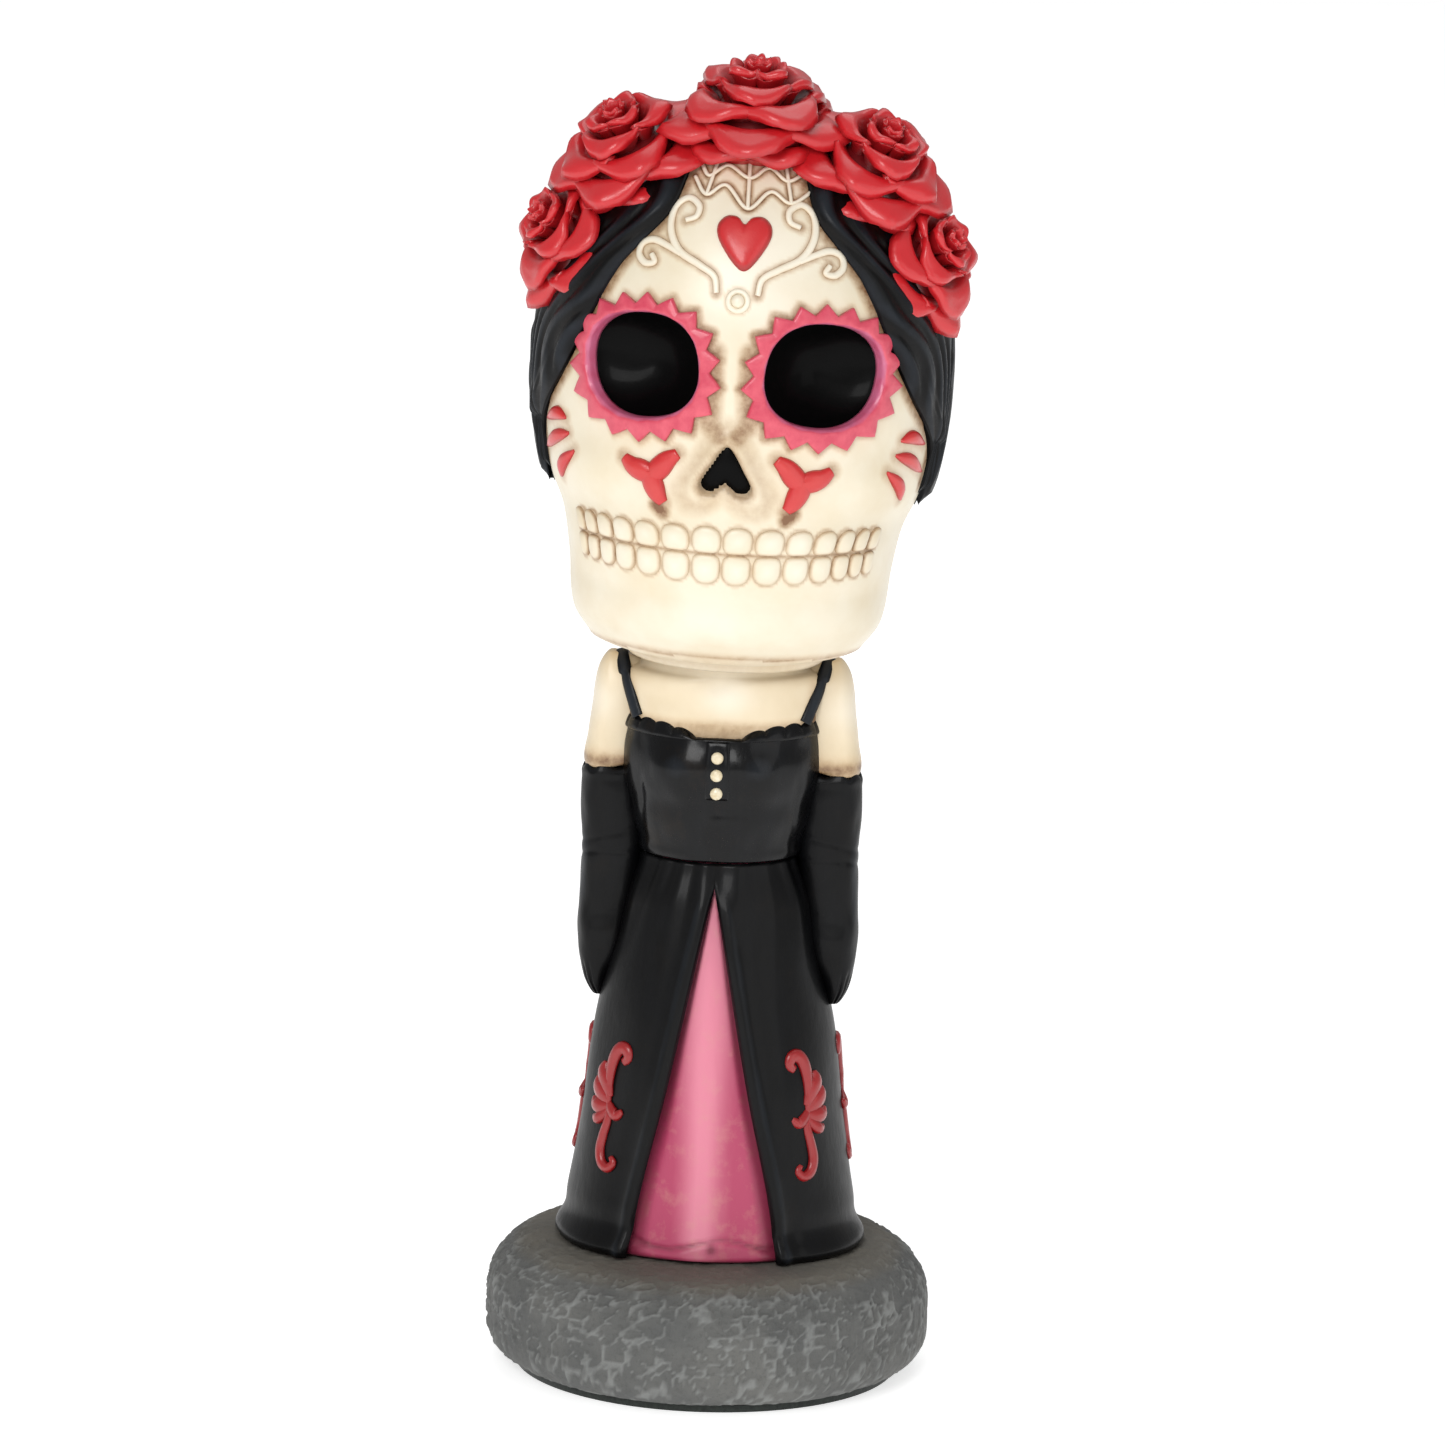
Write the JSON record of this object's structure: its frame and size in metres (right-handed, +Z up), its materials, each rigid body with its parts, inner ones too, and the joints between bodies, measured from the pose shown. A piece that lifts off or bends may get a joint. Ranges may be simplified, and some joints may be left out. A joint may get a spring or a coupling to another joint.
{
  "type": "nodding head catrina figure",
  "caption": "Sugar-skull lady with a rose crown on a round stone base; her oversized hollow head nods, tilts, twists and bounces on a coil spring.",
  "frame": {"origin": "middle of the felt pad's underside, where the figure rests", "axes": "+Z up, front of the figure towards -Y, +X to the viewer's right"},
  "size_m": [0.0679, 0.065, 0.1951],
  "materials": {
    "felt": "black felt",
    "stone_paint": "matt grey paint over hammered stone texture",
    "wood_dowel": "plain beech dowel",
    "pink_paint": "hand-painted pink, satin",
    "black_satin": "hand-painted black, satin",
    "black_gloss": "hand-painted black, semi-gloss",
    "cream_trim": "cream paint dots, gloss",
    "skin_paint": "ivory paint with brown wash in the hollows",
    "steel_spring": "zinc-plated spring wire",
    "seat_plastic": "black moulded seat",
    "bone_paint": "ivory paint with brown wash in the relief, satin",
    "socket_black": "black gloss",
    "pink_trim": "coral pink, satin",
    "red_trim": "scarlet, semi-gloss",
    "rose_red": "scarlet with darker hollows, semi-gloss",
    "hair_black": "combed relief, black satin"
  },
  "bodies": {
    "figure": {"felt_pad": "felt", "stone_base": "stone_paint", "armature_dowel": "wood_dowel", "underskirt": "pink_paint", "overskirt": "black_satin", "bodice": "black_gloss", "bust": "skin_paint", "upper_arm_left": "skin_paint", "upper_arm_right": "skin_paint", "glove_left": "black_satin", "glove_right": "black_satin", "strap_left": "black_satin", "strap_right": "black_satin", "neckline_lace": "black_gloss", "button_placket": "black_gloss", "bodice_buttons": "cream_trim", "spring_seat_lower": "seat_plastic", "spring_foot_turns": "steel_spring", "skirt_scroll_back_left": "red_trim", "skirt_scroll_back_right": "red_trim", "skirt_scroll_front_left": "red_trim", "skirt_scroll_front_right": "red_trim", "skirt_scroll_side_left": "red_trim", "skirt_scroll_side_right": "red_trim"},
    "spring_lower": {"spring_lower_turns": "steel_spring"},
    "spring_middle": {"spring_middle_turns": "steel_spring"},
    "spring_upper": {"spring_upper_turns": "steel_spring"},
    "head": {"cheek_motif_left": "red_trim", "cheek_motif_right": "red_trim", "eye_ring_left": "pink_trim", "eye_ring_right": "pink_trim", "eye_socket_left": "socket_black", "eye_socket_right": "socket_black", "forehead_heart": "red_trim", "forehead_pearl": "bone_paint", "hair_back": "hair_black", "hair_left": "hair_black", "hair_right": "hair_black", "nose_cavity": "socket_black", "rose_centre": "rose_red", "rose_lower_left": "rose_red", "rose_lower_right": "rose_red", "rose_upper_left": "rose_red", "rose_upper_right": "rose_red", "skull_shell": "bone_paint", "spring_head_turns": "steel_spring", "spring_seat_upper": "seat_plastic", "teeth_lower": "bone_paint", "teeth_upper": "bone_paint", "temple_petals_left": "red_trim", "temple_petals_right": "red_trim"}
  },
  "joints": [
    {"name": "head_nod", "type": "hinge", "parent": "figure", "child": "spring_lower", "pos_m": [0, 0, 0.108], "axis": [1, 0, 0], "range_deg": [-5, 7], "stiffness_Nm_per_rad": 0.25, "deforming": ["spring_lower_turns"]},
    {"name": "head_tilt", "type": "hinge", "parent": "spring_lower", "child": "spring_middle", "pos_m": [0, 0, 0.108], "axis": [0, 1, 0], "range_deg": [-5.7, 2.3], "stiffness_Nm_per_rad": 0.25, "deforming": ["spring_middle_turns"]},
    {"name": "head_twist", "type": "hinge", "parent": "spring_middle", "child": "spring_upper", "pos_m": [0, 0, 0.108], "axis": [0, 0, 1], "range_deg": [-15, 15], "stiffness_Nm_per_rad": 0.08, "deforming": ["spring_upper_turns"]},
    {"name": "head_bounce", "type": "slide", "parent": "spring_upper", "child": "head", "axis": [0, 0, 1], "range_m": [-0.0006, 0.0015], "stiffness_N_per_m": 1200, "springref_m": 0.0012, "deforming": ["spring_head_turns"]}
  ]
}
